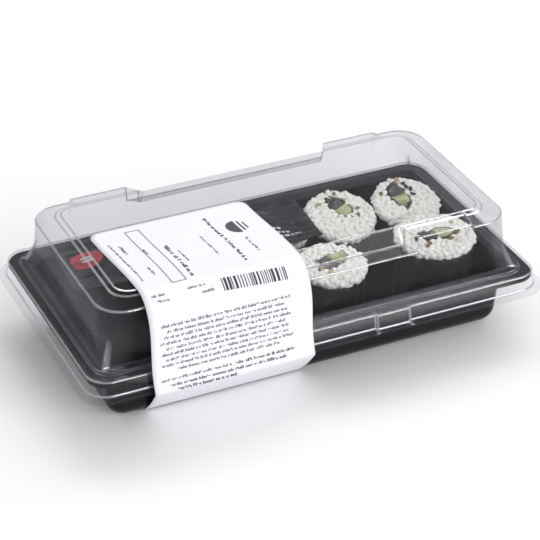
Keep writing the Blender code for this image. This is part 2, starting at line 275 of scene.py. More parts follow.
TRAY_BLACK = Finish(
    "tray_black", (0.011, 0.011, 0.013), (0.020, 0.020, 0.023), (25.0, 1.0), (0.07, 0.12),
    grain=(60.0, 0.0), depth=0.02 * MM, specular=0.11,
)
PAPER = Finish(
    "label_paper", (0.85, 0.85, 0.89), (0.81, 0.81, 0.86), (90.0, 3.0), (0.45, 0.2),
    grain=(1500.0, 3.0), depth=0.02 * MM,
)
SACHET_FILM = Finish(
    "sachet_grey_film", (0.008, 0.008, 0.010), (0.017, 0.018, 0.022), (120.0, 3.0), (0.22, 0.2),
    grain=(350.0, 4.0), depth=0.12 * MM, specular=0.12,
)
COOKED_RICE = Finish(
    "cooked_rice", (0.97, 0.955, 0.89), (0.93, 0.90, 0.80), (420.0, 3.0), (0.3, 0.25),
    grain=(1600.0, 2.0), depth=0.05 * MM, subsurface=(0.35, (1.0, 0.9, 0.75), 1.2 * MM),
)
SEAWEED = Finish(
    "seaweed", (0.005, 0.0055, 0.005), (0.013, 0.014, 0.012), (700.0, 5.0), (0.35, 0.3),
    grain=(700.0, 5.0), depth=0.05 * MM, specular=0.2,
)
CUCUMBER_FLESH = Produce("cucumber_flesh", (0.50, 0.515, 0.30), (0.24, 0.27, 0.09), (200.0, 3.0))
CUCUMBER_SKIN = Produce("cucumber_skin", (0.030, 0.055, 0.018), (0.10, 0.14, 0.045), (300.0, 3.0))
DARK_FILLING = Produce(
    "filling_mass", (0.018, 0.018, 0.016), (0.24, 0.16, 0.07), (380.0, 3.0), edges=(0.52, 0.66),
)
SESAME = {
    Tone.TAN: Produce("sesame_tan", (0.55, 0.42, 0.24), (0.42, 0.30, 0.15), (800.0, 3.0)),
    Tone.BROWN: Produce("sesame_brown", (0.25, 0.14, 0.06), (0.16, 0.085, 0.035), (800.0, 3.0)),
    Tone.BLACK: Produce("sesame_black", (0.012, 0.012, 0.011), (0.03, 0.03, 0.026), (800.0, 3.0)),
}
PRINT_DARK = Ink("print_dark", (0.02, 0.02, 0.025), (0.06, 0.06, 0.07))
PRINT_GREY = Ink("print_grey", (0.10, 0.10, 0.12), (0.18, 0.18, 0.20))
PRINT_WHITE = Ink("print_white", (0.75, 0.75, 0.77), (0.6, 0.6, 0.62))
PRINT_RED = Ink("print_red", (0.52, 0.018, 0.028), (0.40, 0.015, 0.022))


@dataclass(frozen=True)
class LidPlastic:
    """Clear formed plastic that mirrors a little, more in its folds, with painted shade in its folds and
    painted reflection on its short sides.
    """

    tint: tuple[float, float, float] = (0.938, 0.940, 0.948)
    # colour of the sheet's own milky haze, also used for the painted reflection that greys the short sides
    milk_and_reflection_colour: tuple[float, float, float] = (0.42, 0.43, 0.47)
    haze: float = 0.013
    # strength of the painted reflection on the short sides
    reflection_veil_share: float = 0.10
    # painted shade along the folds: a dark haze that darkens what shows through them, and its strength
    fold_shade_colour: tuple[float, float, float] = (0.13, 0.13, 0.15)
    fold_shade: float = 0.32
    head_on: float = 0.005
    grazing: float = 0.05
    fold_mirror: float = 0.36
    roughness: float = 0.10

    def material(self) -> bpy.types.Material:
        """Return the material."""
        shade = Shade("lid_clear")
        facing = shade.add("ShaderNodeLayerWeight", {}, {"Blend": 0.5}, out=1)
        fold = shade.add("ShaderNodeAttribute", {"attribute_name": FOLD}, out=2)
        veil = shade.add("ShaderNodeAttribute", {"attribute_name": REFLECTION_VEIL}, out=2)
        mirror = facing ** 2.0 * self.grazing + fold * self.fold_mirror + self.head_on
        clear = shade.add("ShaderNodeBsdfTransparent", {}, {"Color": (*self.tint, 1.0)})
        waves = shade.bump(shade.noise(24.0, 1.0), 0.15 * MM, 0.6)
        gloss_inputs = {"Roughness": self.roughness, "Color": (1.0, 1.0, 1.0, 1.0), "Normal": waves}
        gloss = shade.add("ShaderNodeBsdfAnisotropic", {}, gloss_inputs)
        sheet = shade.add("ShaderNodeMixShader", {}, {0: mirror, 1: clear, 2: gloss})
        # the milk mixes the sheet's own milky haze with painted reflection on the short sides and painted
        # shade along the folds
        milk_and_painted_light = shade.noise(45.0, 4.0) * (veil * self.reflection_veil_share + self.haze) * 2.0 + fold * self.fold_shade
        milk_and_painted_light_colour = shade.blend(fold, self.milk_and_reflection_colour, self.fold_shade_colour)
        shade.set(Base_Color=milk_and_painted_light_colour, Roughness=0.5, Specular_IOR_Level=0.0)
        body = Socket(shade, shade.principled.outputs[0])
        whole = shade.add("ShaderNodeMixShader", {}, {0: milk_and_painted_light, 1: sheet, 2: body})
        shade.tree.links.new(whole.out, shade.output.inputs["Surface"])
        return shade.material


def finish_piece(
    name: str,
    mesh: bmesh.types.BMesh,
    materials: list[bpy.types.Material],
    slot: str,
    replaced: tuple[str, ...] = (),
    crease_angle: float = 45.0,
) -> bpy.types.Object:
    """Turn a bmesh into a finished piece that rides on the pack.

    Args:
        name: the piece's name.
        mesh: its shape, in the pack's frame; it is freed.
        materials: its materials, in slot order.
        slot: the record's material slot; not used.
        replaced: the solids that it stands for.
        crease_angle: angle in degrees past which an edge stays sharp.

    Returns:
        The piece.
    """
    data = bpy.data.meshes.new(name)
    mesh.to_mesh(data)
    mesh.free()
    data.shade_smooth()
    data.set_sharp_from_angle(angle=math.radians(crease_angle))
    for material in materials:
        data.materials.append(material)
    piece = bpy.data.objects.new(name, data)
    bpy.context.scene.collection.objects.link(piece)
    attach(piece, BODY)
    if replaced:
        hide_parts(*replaced)
    log.info("%s: %d faces", name, len(data.polygons))
    return piece


def thicken(piece: bpy.types.Object, wall: float) -> None:
    """Give an open sheet its wall on the inner side.

    Args:
        piece: the sheet.
        wall: its thickness.
    """
    solid = piece.modifiers.new("wall", "SOLIDIFY")
    solid.thickness = wall
    solid.offset = -1.0
    solid.use_even_offset = False


def mapped_grid(
    columns: int,
    rows: int,
    place: Callable[[int, int], Vector],
    marks: dict[str, Callable[[int, int], float]] | None = None,
) -> bmesh.types.BMesh:
    """Make a grid and move each of its vertices.

    Args:
        columns: faces across.
        rows: faces along.
        place: where vertex number (column, row) goes.
        marks: values of its vertices, by the name of the attribute that keeps them.

    Returns:
        The mesh, with vertices that meet welded.
    """
    mesh = bmesh.new()
    bmesh.ops.create_grid(mesh, x_segments=columns, y_segments=rows, size=1.0)
    for name in marks or {}:
        mesh.verts.layers.float.new(name)
    for vert in mesh.verts:
        column = round((vert.co.x + 1.0) / 2.0 * columns)
        row = round((vert.co.y + 1.0) / 2.0 * rows)
        vert.co = place(column, row)
        for name, mark in (marks or {}).items():
            vert[mesh.verts.layers.float[name]] = mark(column, row)
    bmesh.ops.remove_doubles(mesh, verts=mesh.verts, dist=WELD)
    return mesh


def eased(points: list[Vector], radii: list[float], closed: bool, steps: int) -> list[Vector]:
    """Round the corners of a run of points.

    Args:
        points: the run, in order.
        radii: how far from each point its arc starts; 0 keeps the point.
        closed: whether the last point joins the first.
        steps: steps in each arc.

    Returns:
        The run, with steps + 1 points in place of each rounded one.
    """
    longest_share = 0.42
    run = []
    for i, (point, radius) in enumerate(zip(points, radii)):
        if radius == 0.0 or (not closed and i in (0, len(points) - 1)):
            run.append(point)
            continue
        back = points[i - 1] - point
        ahead = points[(i + 1) % len(points)] - point
        start = point + back.normalized() * min(radius, longest_share * back.length)
        end = point + ahead.normalized() * min(radius, longest_share * ahead.length)
        for step in range(steps + 1):
            t = step / steps
            run.append((1 - t) ** 2 * start + 2 * t * (1 - t) * point + t * t * end)
    return run


def eased_marks(marks: list[float], radii: list[float], closed: bool, steps: int, peak: bool) -> list[float]:
    """Return a mark for each point of a run that eased() rounds.

    Args:
        marks: the mark of each corner.
        radii: as for eased().
        closed: as for eased().
        steps: as for eased().
        peak: whether the mark is full only in the middle of its arc, and none where there is no arc.

    Returns:
        The marks.
    """
    run = []
    for i, (mark, radius) in enumerate(zip(marks, radii)):
        if radius == 0.0 or (not closed and i in (0, len(marks) - 1)):
            run.append(0.0 if peak else mark)
        else:
            run += [mark * (math.sin(math.pi * step / steps) if peak else 1.0) for step in range(steps + 1)]
    return run


@dataclass(frozen=True)
class Level:
    """One ring round a formed shell: a rounded rectangle at one height.

    On the lid's long sides the pads (lug) and the recess have a half width and height of their own, the
    recess ends at recess_end, and tab is how far the opening tab stands proud. flare squares the corner:
    1 is square. crease is the radius of the fold along the ring, and gleam how much it catches the light;
    that mark also lays painted shade along the fold. ends is the gleam of the pads' ends at this ring, sheen
    that of the flat beside the fold on the front, and the last field gives how much painted reflection, a
    pale milky haze, covers the short sides.
    """

    length: float
    width: float
    z: float
    corner: float
    crease: float = 0.0
    gleam: float = 0.0
    ends: float = 0.0
    sheen: float = 0.0
    veil: float = 0.0
    flare: float = 0.0
    lug: tuple[float, float] | None = None
    recess: tuple[float, float] | None = None
    recess_end: float = 44.0 * MM
    tab: float = 0.0


@dataclass
class FormedShell:
    """A sheet formed over rings, from the middle of its panel outwards."""

    name: str
    levels: list[Level]
    wall: float
    panel_up: bool
    featured: bool
    corner_steps: int = 12
    lug_end: float = 68.3 * MM
    tab_start: float = 21.8 * MM
    tab_end: float = 35.8 * MM
    step_run: float = 0.6 * MM
    side_round: float = 0.5 * MM
    side_points: int = 16
    side_steps: int = 2
    crease_steps: int = 4
    lug_gleam: float = 0.8
    tab_gleam: float = 0.7

    def corner_points(self, level: Level, quadrant: int) -> list[Vector]:
        """Return the points round one corner, anticlockwise.

        Args:
            level: the ring.
            quadrant: 0 is right back, 1 left back, 2 left front and 3 right front.

        Returns:
            The points.
        """
        side_x, side_y = ((1, 1), (-1, 1), (-1, -1), (1, -1))[quadrant]
        right, back = level.length / 2 - level.corner, level.width / 2 - level.corner
        centre = Vector((side_x * right, side_y * back, 0))
        inset = level.corner * (1 - math.sqrt(0.5)) * (1 - level.flare)
        points = []
        for step in range(self.corner_steps + 1):
            angle = math.radians(90 * (quadrant + step / self.corner_steps))
            reach = level.corner
            if level.flare > 0:
                square = (level.corner - inset) / max(abs(math.cos(angle)), abs(math.sin(angle)))
                reach = max(reach, square)
            points.append(centre + Vector((reach * math.cos(angle), reach * math.sin(angle), level.z)))
        return points

    def long_side(self, level: Level, side_y: int) -> list[Vector]:
        """Return the points along one long side, from its left end to its right.

        Args:
            level: the ring.
            side_y: 1 is the back and -1 the front.

        Returns:
            The points.
        """
        tab = level.tab if side_y < 0 else 0.0
        plain = (level.width / 2, level.z)
        lug = level.lug or plain
        recess = level.recess or plain
        proud = (recess[0] + tab, recess[1])
        right = [
            (self.tab_start - self.step_run, recess),
            (self.tab_start, proud),
            (self.tab_end, proud),
            (self.tab_end + self.step_run, recess),
            (level.recess_end, recess),
            (level.recess_end + self.step_run, lug),
            (self.lug_end, lug),
            (self.lug_end + self.step_run, plain),
        ]
        left = [(-x, recess if shape is proud else shape) for x, shape in reversed(right)]
        return [Vector((x, side_y * half, z)) for x, (half, z) in left + right]

    def side_radii(self) -> list[float]:
        """Return the radius at each point of a ring: only the long sides' steps are rounded."""
        corner = [0.0] * (self.corner_steps + 1)
        side = [self.side_round] * (self.side_points if self.featured else 0)
        return corner + side + corner + corner + side + corner

    def ring(self, level: Level) -> list[Vector]:
        """Return all points of one ring, anticlockwise.

        Args:
            level: the ring.

        Returns:
            The points.
        """
        points = self.corner_points(level, 0)
        if self.featured:
            points += reversed(self.long_side(level, 1))
        points += self.corner_points(level, 1) + self.corner_points(level, 2)
        if self.featured:
            points += self.long_side(level, -1)
        points += self.corner_points(level, 3)
        return eased(points, self.side_radii(), True, self.side_steps)

    def marks(self) -> dict[str, Callable[[int, int], float]]:
        """Return the functions that give the fold mark and the painted reflection at a column and row of the
        loft.
        """
        steps = self.corner_steps
        radii, side = self.side_radii(), self.side_points if self.featured else 0
        creases = [level.crease for level in self.levels]
        corner, flat = [0.0] * (steps + 1), [0.0] * side
        lug = ([1.0] * 4 + [0.0] * 8 + [1.0] * 4)[:side]
        tab = ([0.0] * 8 + [1.0] * 4 + [0.0] * 4)[:side]
        edge = [float(step == steps // 2) for step in range(steps + 1)]
        rising = [step / steps for step in range(steps + 1)]
        falling = rising[::-1]

        def round_ring(*parts: list[float], peak: bool) -> list[float]:
            """Return the marks round a ring: corner, side, corner, corner, side and corner."""
            marks = [mark for part in parts for mark in part]
            return eased_marks(marks, radii, True, self.side_steps, peak)

        def down_loft(marks: list[float], peak: bool = False) -> list[float]:
            """Return the mark at each row of the loft, from one for each level."""
            return eased_marks(marks, creases, False, self.crease_steps, peak)

        lugs = round_ring(corner, lug, corner, corner, lug, corner, peak=True)
        tabs = round_ring(corner, flat, corner, corner, tab, corner, peak=True)
        front = round_ring(corner, flat, corner, corner, [1.0] * side, corner, peak=False)
        edges = round_ring(edge, flat, edge, edge, flat, edge, peak=False)
        short = round_ring(falling, flat, rising, falling, flat, rising, peak=False)
        rows = down_loft([level.gleam for level in self.levels], peak=True)
        tabbed = down_loft([float(level.tab > 0) for level in self.levels])
        ends, sheens, flares, reflection_veils = (
            down_loft([getattr(level, mark) for level in self.levels])
            for mark in ("ends", "sheen", "flare", "veil")
        )

        def fold(column: int, row: int) -> float:
            """Return how much a vertex mirrors more and takes painted shade, as a fold.

            Args:
                column: its number round the shell.
                row: its number outwards; row 0 is the middle of the panel.

            Returns:
                The mark, from 0 to 1.
            """
            if row == 0:
                return 0.0
            at, i = column % len(lugs), row - 1
            lug_bend = self.lug_gleam * lugs[at] * ends[i]
            tab_bend = self.tab_gleam * tabs[at] * tabbed[i]
            return max(rows[i], sheens[i] * front[at], lug_bend, tab_bend, edges[at] * flares[i])

        def veil(column: int, row: int) -> float:
            """Return how much painted reflection, as a milky haze, the sheet shows at a vertex."""
            return reflection_veils[row - 1] * short[column % len(short)] if row else 0.0

        return {FOLD: fold, REFLECTION_VEIL: veil}

    def build(self, material: bpy.types.Material) -> bpy.types.Object:
        """Build the shell as one piece in place of the solid of its name.

        Args:
            material: its plastic.

        Returns:
            The piece.
        """
        rings = [self.ring(level) for level in self.levels]
        creases = [level.crease for level in self.levels]
        runs = [eased(list(run), creases, False, self.crease_steps) for run in zip(*rings)]
        middle = Vector((0, 0, self.levels[0].z))
        shift = Vector((0, MIDDLE_Y, 0))

        def place(column: int, row: int) -> Vector:
            """Return a vertex of the loft; row 0 is the middle of the panel."""
            run = runs[column % len(runs)]
            return shift + (run[row - 1] if row else middle)

        mesh = mapped_grid(len(runs), len(runs[0]), place, self.marks())
        panel = min(mesh.faces, key=lambda face: (face.calc_center_median() - middle).length)
        if (panel.normal.z > 0) != self.panel_up:
            bmesh.ops.reverse_faces(mesh, faces=mesh.faces)
        piece = finish_piece(self.name + "_shell", mesh, [material], self.name, (self.name,), 60.0)
        thicken(piece, self.wall)
        return piece


@dataclass
class Tray:
    """The black tray, measured on its outer face."""

    length: float = 188.8 * MM
    width: float = 102.2 * MM
    rim_z: float = 27.5 * MM
    rim_step: float = 0.6 * MM
    rim_corner: float = 7.8 * MM
    rim_drop: float = 1.4 * MM
    body_length: float = 172.0 * MM
    body_width: float = 84.0 * MM
    draft: float = 2.0 * MM
    body_corner: float = 6.0 * MM
    foot_fillet: float = 8.0 * MM
    foot_flat: float = 2.5 * MM
    floor_rise: float = 6.0 * MM
    wall: float = 0.5 * MM

    def levels(self) -> list[Level]:
        """Return the rings of the underside, from the raised floor out to the rim."""
        foot_length = self.body_length - 2 * self.draft - 2 * self.foot_fillet
        foot_width = self.body_width - 2 * self.draft - 2 * self.foot_fillet
        foot_corner = 2.0 * MM
        flat = 2 * self.foot_flat
        slope = flat + 3.0 * MM
        levels = [
            Level(foot_length - slope - flat, foot_width - slope - flat, self.floor_rise, 1.0 * MM),
            Level(foot_length - slope, foot_width - slope, self.floor_rise, 1.0 * MM, crease=1.0 * MM),
            Level(foot_length - flat, foot_width - flat, 0.0, 1.5 * MM, crease=0.6 * MM),
            Level(foot_length, foot_width, 0.0, foot_corner, crease=0.6 * MM),
        ]
        draft_at_fillet = 2 * self.draft * self.foot_fillet / self.rim_z
        steps = 8
        for step in range(1, steps + 1):
            turn = math.radians(90 * step / steps)
            grow = (2 * self.foot_fillet + draft_at_fillet) * math.sin(turn)
            corner = foot_corner + (self.body_corner - foot_corner) * math.sin(turn)
            z = self.foot_fillet * (1 - math.cos(turn))
            levels.append(Level(foot_length + grow, foot_width + grow, z, corner))
        step_length = self.body_length + 9.2 * MM
        step_width = self.body_width + 10.0 * MM
        run = 1.2 * MM
        low = self.rim_z - self.rim_step
        inner_corner = self.rim_corner - 1.0 * MM
        levels += [
            Level(self.body_length, self.body_width, self.rim_z, self.body_corner, crease=0.9 * MM),
            Level(step_length, step_width, self.rim_z, inner_corner, crease=0.3 * MM),
            Level(step_length + run, step_width + run, low, inner_corner, crease=0.3 * MM),
            Level(self.length, self.width, low, self.rim_corner, crease=0.5 * MM),
            Level(self.length + 0.2 * MM, self.width + 0.2 * MM, low - self.rim_drop, self.rim_corner),
        ]
        return levels

    def build(self) -> None:
        """Build and dress the tray."""
        FormedShell("tray", self.levels(), self.wall, False, False).build(TRAY_BLACK.material())


@dataclass
class Lid:
    """The clear lid, measured on its outer face."""

    tray: Tray
    length: float = 190.6 * MM
    width: float = 104.0 * MM
    rim_z: float = 28.8 * MM
    base_length: float = 176.0 * MM
    base_width: float = 87.6 * MM
    corner: float = 11.5 * MM
    flare_z: float = 39.2 * MM
    shoulder_length: float = 173.2 * MM
    shoulder_width: float = 85.0 * MM
    shoulder_z: float = 50.8 * MM
    panel_length: float = 154.0 * MM
    panel_width: float = 67.6 * MM
    panel_z: float = 53.65 * MM
    panel_corner: float = 6.0 * MM
    lug_z: float = 52.2 * MM
    ledge_z: float = 46.8 * MM
    ledge_edge_z: float = 45.7 * MM
    skirt_z: float = 22.3 * MM
    skirt_run: float = 1.6 * MM
    lip_z: float = 21.1 * MM
    lip_reach: float = 3.8 * MM
    tab_proud: float = 0.9 * MM
    wall: float = 0.35 * MM

    def top_levels(self) -> list[Level]:
        """Return the rings of the panel and the shoulders."""
        half = self.shoulder_width / 2
        panel_half = self.panel_width / 2
        inset = 3.0 * MM
        bevel_run = 4.4 * MM
        return [
            Level(
                self.panel_length - inset, self.panel_width - inset, self.panel_z,
                self.panel_corner - inset / 2, recess_end=40.2 * MM,
            ),
            Level(
                self.panel_length, self.panel_width, self.panel_z, self.panel_corner,
                crease=0.55 * MM, gleam=1.0, ends=0.3, recess_end=40.2 * MM,
            ),
            Level(
                self.panel_length + bevel_run, self.panel_width + bevel_run, self.panel_z - 0.9 * MM,
                self.panel_corner + 1.4 * MM, crease=0.6 * MM, gleam=0.85, ends=1.0,
                lug=(panel_half + bevel_run / 2, self.panel_z - 0.5 * MM),
                recess=(panel_half + 3.3 * MM, self.ledge_z), recess_end=40.6 * MM,
            ),
            Level(
                self.shoulder_length, self.shoulder_width, self.shoulder_z, self.corner,
                crease=0.8 * MM, gleam=1.0, ends=0.3, veil=0.5,
                lug=(half, self.lug_z), recess=(half + 0.3 * MM, self.ledge_edge_z),
            ),
        ]

    def wall_levels(self) -> list[Level]:
        """Return the rings of the wall, whose corners flare square towards the rim."""
        levels = []
        steps = 6
        for step in range(steps + 1):
            flare = step / steps
            z = self.flare_z + (self.rim_z - self.flare_z) * flare
            fall = (self.shoulder_z - z) / (self.shoulder_z - self.rim_z)
            length = self.shoulder_length + (self.base_length - self.shoulder_length) * fall
            width = self.shoulder_width + (self.base_width - self.shoulder_width) * fall
            crease = 0.6 * MM if step == steps else 0.0
            # the wall's short sides take the full painted reflection
            levels.append(Level(length, width, z, self.corner, flare=flare, crease=crease, veil=1.0))
        return levels

    def rim_levels(self) -> list[Level]:
        """Return the rings of the stepped rim, the skirt and its lip."""
        step_length = self.tray.body_length + 9.8 * MM
        step_width = self.tray.body_width + 10.6 * MM
        run = 1.2 * MM
        low = self.rim_z - self.tray.rim_step
        corner = self.tray.rim_corner + 0.8 * MM
        inner = corner - 1.0 * MM
        lip = 2 * self.lip_reach
        return [
            Level(step_length, step_width, self.rim_z, inner, crease=0.3 * MM, gleam=0.4, sheen=0.14),
            Level(step_length + run, step_width + run, low, inner, crease=0.3 * MM, gleam=0.2, sheen=0.14),
            Level(
                self.length, self.width, low, corner,
                crease=0.7 * MM, gleam=1.0, sheen=0.14, tab=self.tab_proud,
            ),
            Level(
                self.length + self.skirt_run, self.width + self.skirt_run, self.skirt_z, corner + 0.6 * MM,
                crease=0.6 * MM, gleam=0.9, tab=self.tab_proud,
            ),
            Level(self.length + lip, self.width + lip, self.lip_z, corner + 2.6 * MM),
        ]

    def build(self) -> None:
        """Build and dress the lid."""
        levels = self.top_levels() + self.wall_levels() + self.rim_levels()
        FormedShell("lid", levels, self.wall, True, True).build(LidPlastic().material())


@dataclass
class Print:
    """Flat marks laid on a surface, gathered into one piece.

    surface gives the point at (along, across, lift) in metres.
    """

    surface: Callable[[float, float, float], Vector]
    lift: float = 0.05 * MM
    pitch: float = 1.2 * MM
    mesh: bmesh.types.BMesh = field(default_factory=bmesh.new)

    def take(self, part: bmesh.types.BMesh) -> None:
        """Add a part's faces to the piece.

        Args:
            part: the part; it is freed.
        """
        data = bpy.data.meshes.new("mark")
        part.to_mesh(data)
        part.free()
        self.mesh.from_mesh(data)
        bpy.data.meshes.remove(data)

    def bar(self, along: tuple[float, float], across: tuple[float, float]) -> None:
        """Lay a bar.

        Args:
            along: where it starts and ends along the surface, in mm.
            across: its two sides, in mm.
        """
        rows = max(1, math.ceil(abs(along[1] - along[0]) * MM / self.pitch))
        columns = max(1, math.ceil(abs(across[1] - across[0]) * MM / (4 * self.pitch)))

        def place(column: int, row: int) -> Vector:
            """Return a vertex of the bar.

            Args:
                column: its number across.
                row: its number along.

            Returns:
                Its place in the pack's frame.
            """
            s = along[0] + (along[1] - along[0]) * row / rows
            t = across[0] + (across[1] - across[0]) * column / columns
            return self.surface(s * MM, t * MM, self.lift)

        self.take(mapped_grid(columns, rows, place))

    def disc(
        self, middle: tuple[float, float], radius: float, start: float = 0.0, turn: float = 360.0,
    ) -> None:
        """Lay a disc or a slice of one.

        Args:
            middle: its middle along and across, in mm.
            radius: its radius in mm.
            start: angle in degrees at which a slice starts.
            turn: angle that it covers.
        """
        rings, steps = 12, 48

        def place(column: int, row: int) -> Vector:
            """Return a vertex of the disc.

            Args:
                column: its number across.
                row: its number along.

            Returns:
                Its place in the pack's frame.
            """
            angle = math.radians(start + turn * (column % steps if turn == 360.0 else column) / steps)
            reach = radius * row / rings
            s, t = middle[0] + reach * math.cos(angle), middle[1] + reach * math.sin(angle)
            return self.surface(s * MM, t * MM, self.lift)

        self.take(mapped_grid(steps, rings, place))

    def frame(self, along: tuple[float, float], across: tuple[float, float], line: float) -> None:
        """Lay an outlined box.

        Args:
            along: its two ends, in mm.
            across: its two sides, in mm.
            line: thickness of its line, in mm.
        """
        self.bar((along[0], along[0] + line), across)
        self.bar((along[1] - line, along[1]), across)
        self.bar((along[0] + line, along[1] - line), (across[0], across[0] + line))
        self.bar((along[0] + line, along[1] - line), (across[1] - line, across[1]))

    def finish(self, name: str, material: bpy.types.Material, slot: str) -> None:
        """Turn the marks into a thin piece of one ink."""
        piece = finish_piece(name, self.mesh, [material], slot)
        thicken(piece, 0.03 * MM)


@dataclass
class Label:
    """The paper band: it lies on the lid's panel, falls over the front and ends under the tray.

    drift is where its middle lies in X at some ways along it, and bulge the line of its inner face from
    the lid's panel to its lip, both in mm. foot_turns are the places round the tray's foot, in degrees.
    """

    lid: Lid
    paper: float = 0.3 * MM
    half: float = 32.9 * MM
    corner: float = 4.0 * MM
    back_y: float = 9.3 * MM
    pitch: float = 6.1 * MM
    proud: float = 0.45 * MM
    drift: tuple[tuple[float, float], ...] = ((0.0, -40.3), (43.0, -37.3), (81.0, -40.1), (112.0, -37.0))
    bulge: tuple[tuple[float, float], ...] = (
        (-37.8, 54.0), (-41.8, 53.0), (-45.6, 50.9), (-49.0, 47.8), (-51.6, 43.6), (-53.3, 38.0),
        (-54.6, 31.5), (-55.8, 25.5),
    )
    foot_turns: tuple[float, ...] = (42.0, 50.0, 58.0)
    panel_points: int = 8
    path: list[Vector] = field(default_factory=list)
    travelled: list[float] = field(default_factory=list)
    draw: random.Random = field(default_factory=lambda: random.Random(11))

    def __post_init__(self) -> None:
        """Work out the inner face's line in the YZ plane and the way travelled along it."""
        lid, tray = self.lid, self.lid.tray
        top = lid.panel_z + GAP
        points = [(self.back_y - i * self.pitch, top) for i in range(self.panel_points)]
        points += [(y * MM, z * MM) for y, z in self.bulge]
        lip_y = -(lid.width / 2 + lid.lip_reach)
        points.append((lip_y - self.proud, lid.lip_z + 0.3 * MM))
        points.append((lip_y - self.proud + 0.1 * MM, lid.lip_z - 0.7 * MM))
        centre_y = -(tray.body_width / 2 - tray.draft - tray.foot_fillet)
        reach_y = tray.foot_fillet * (1 + tray.draft / tray.rim_z) + GAP
        reach_z = tray.foot_fillet + GAP
        for turn in self.foot_turns:
            angle = math.radians(turn)
            y, z = centre_y - reach_y * math.cos(angle), tray.foot_fillet - reach_z * math.sin(angle)
            points.append((y, z))
        self.path = [Vector((0.0, y, z)) for y, z in points]
        self.travelled = [0.0]
        for first, second in zip(self.path, self.path[1:]):
            self.travelled.append(self.travelled[-1] + (second - first).length)

    def middle(self, along: float) -> float:
        """Return where the band's middle lies in X.

        Args:
            along: way from its back edge.

        Returns:
            The middle, in metres.
        """
        at = along / MM
        for (start, first), (end, last) in zip(self.drift, self.drift[1:]):
            if at <= end:
                share = max(0.0, (at - start) / (end - start))
                return (first + (last - first) * share * share * (3 - 2 * share)) * MM
        return self.drift[-1][1] * MM

    def on_path(self, along: float) -> Vector:
        """Return the smooth line's point.

        Args:
            along: way from the back edge.

        Returns:
            The point in the YZ plane.
        """
        last = len(self.path) - 2
        i = next((k for k in range(last + 1) if along <= self.travelled[k + 1]), last)
        p0, p1 = self.path[max(i - 1, 0)], self.path[i]
        p2, p3 = self.path[i + 1], self.path[min(i + 2, last + 1)]
        span = self.travelled[i + 1] - self.travelled[i]
        t = min(1.0, max(0.0, (along - self.travelled[i]) / span))
        before = span + (self.travelled[i] - self.travelled[i - 1] if i else span)
        after = span + (self.travelled[i + 2] - self.travelled[i + 1] if i < last else span)
        slope_1 = (p2 - p0) / before * span if i else p2 - p1
        slope_2 = (p3 - p1) / after * span if i < last else p2 - p1
        square, cube = t * t, t * t * t
        return (
            (2 * cube - 3 * square + 1) * p1 + (cube - 2 * square + t) * slope_1
            + (3 * square - 2 * cube) * p2 + (cube - square) * slope_2
        )

    def surface(self, along: float, across: float, lift: float) -> Vector:
        """Return a point over the paper's outer face.

        Args:
            along: way from the back edge.
            across: way from the band's middle, to the right.
            lift: height over the outer face.

        Returns:
            The point in the pack's frame.
        """
        reach = 0.4 * MM
        point = self.on_path(along)
        course = self.on_path(along + reach) - self.on_path(along - reach)
        outwards = Vector((0.0, course.z, -course.y)).normalized() * (self.paper + lift)
        return point + outwards + Vector((self.middle(along) + across, MIDDLE_Y, 0.0))

    def build_band(self) -> None:
        """Build the paper."""
        rows, columns = 110, 28
        length = self.travelled[-1]

        def place(column: int, row: int) -> Vector:
            """Return a vertex of the paper's outer face.

            Args:
                column: its number across.
                row: its number along.

            Returns:
                Its place in the pack's frame.
            """
            along = length * row / rows
            inside = max(0.0, self.corner - along)
            half = self.half - (self.corner - math.sqrt(self.corner**2 - inside**2))
            return self.surface(along, half * (2 * column / columns - 1), 0.0)

        mesh = mapped_grid(columns, rows, place)
        if max(mesh.faces, key=lambda face: face.calc_center_median().y).normal.z < 0:
            bmesh.ops.reverse_faces(mesh, faces=mesh.faces)
        piece = finish_piece("label_band", mesh, [PAPER.material()], "label", ("label",))
        thicken(piece, self.paper - 0.02 * MM)

    def line(
        self, marks: Print, middle: float, run: tuple[float, float], height: float, down: bool,
    ) -> None:
        """Lay a row of ticks, grouped as small print looks from a step away.

        Args:
            marks: the print that they join.
            middle: the row's middle, in mm.
            run: where the row starts and ends, in mm.
            height: height of the tallest ticks, in mm.
            down: whether it runs down the band instead of across it.
        """
        for at, width, low, high in self.ticks(run, height):
            if down:
                marks.bar((at, at + width), (middle + low, middle + high))
            else:
                marks.bar((middle - high, middle - low), (at, at + width))

    def ticks(self, run: tuple[float, float], height: float) -> list[tuple[float, float, float, float]]:
        """Draw the ticks of a row.

        Args:
            run: where the row starts and ends, in mm.
            height: height of the tallest ticks, in mm.

        Returns:
            Each tick's start, width, foot and head, in mm.
        """
        ticks = []
        at = run[0]
        while at < run[1] - height * 0.4:
            for _ in range(self.draw.randint(2, 9)):
                width = self.draw.uniform(0.22, 0.40) * height
                if at + width > run[1]:
                    break
                foot = self.draw.choice((-0.5, -0.5, -0.5, -0.1)) * height
                head = self.draw.choice((0.15, 0.15, 0.15, 0.5)) * height
                ticks.append((at, width, foot, head))
                at += width + self.draw.uniform(0.12, 0.20) * height
            at += 0.5 * height
        return ticks

    def stripes(self, marks: Print, across: tuple[float, float], along: tuple[float, float]) -> None:
        """Lay a block of stripes that encodes nothing and slants a little to the front.

        Args:
            marks: the print that they join.
            across: where the block starts and ends, in mm.
            along: the stripes' two ends, in mm.
        """
        slant = 1.6 / 26.4
        at = across[0]
        while at < across[1]:
            width = self.draw.choice((0.25, 0.4, 0.4, 0.7, 0.95))
            shift = slant * (at - across[0])
            marks.bar((along[0] + shift, along[1] + shift), (at, at + width))
            at += width + self.draw.choice((0.35, 0.55, 0.8))

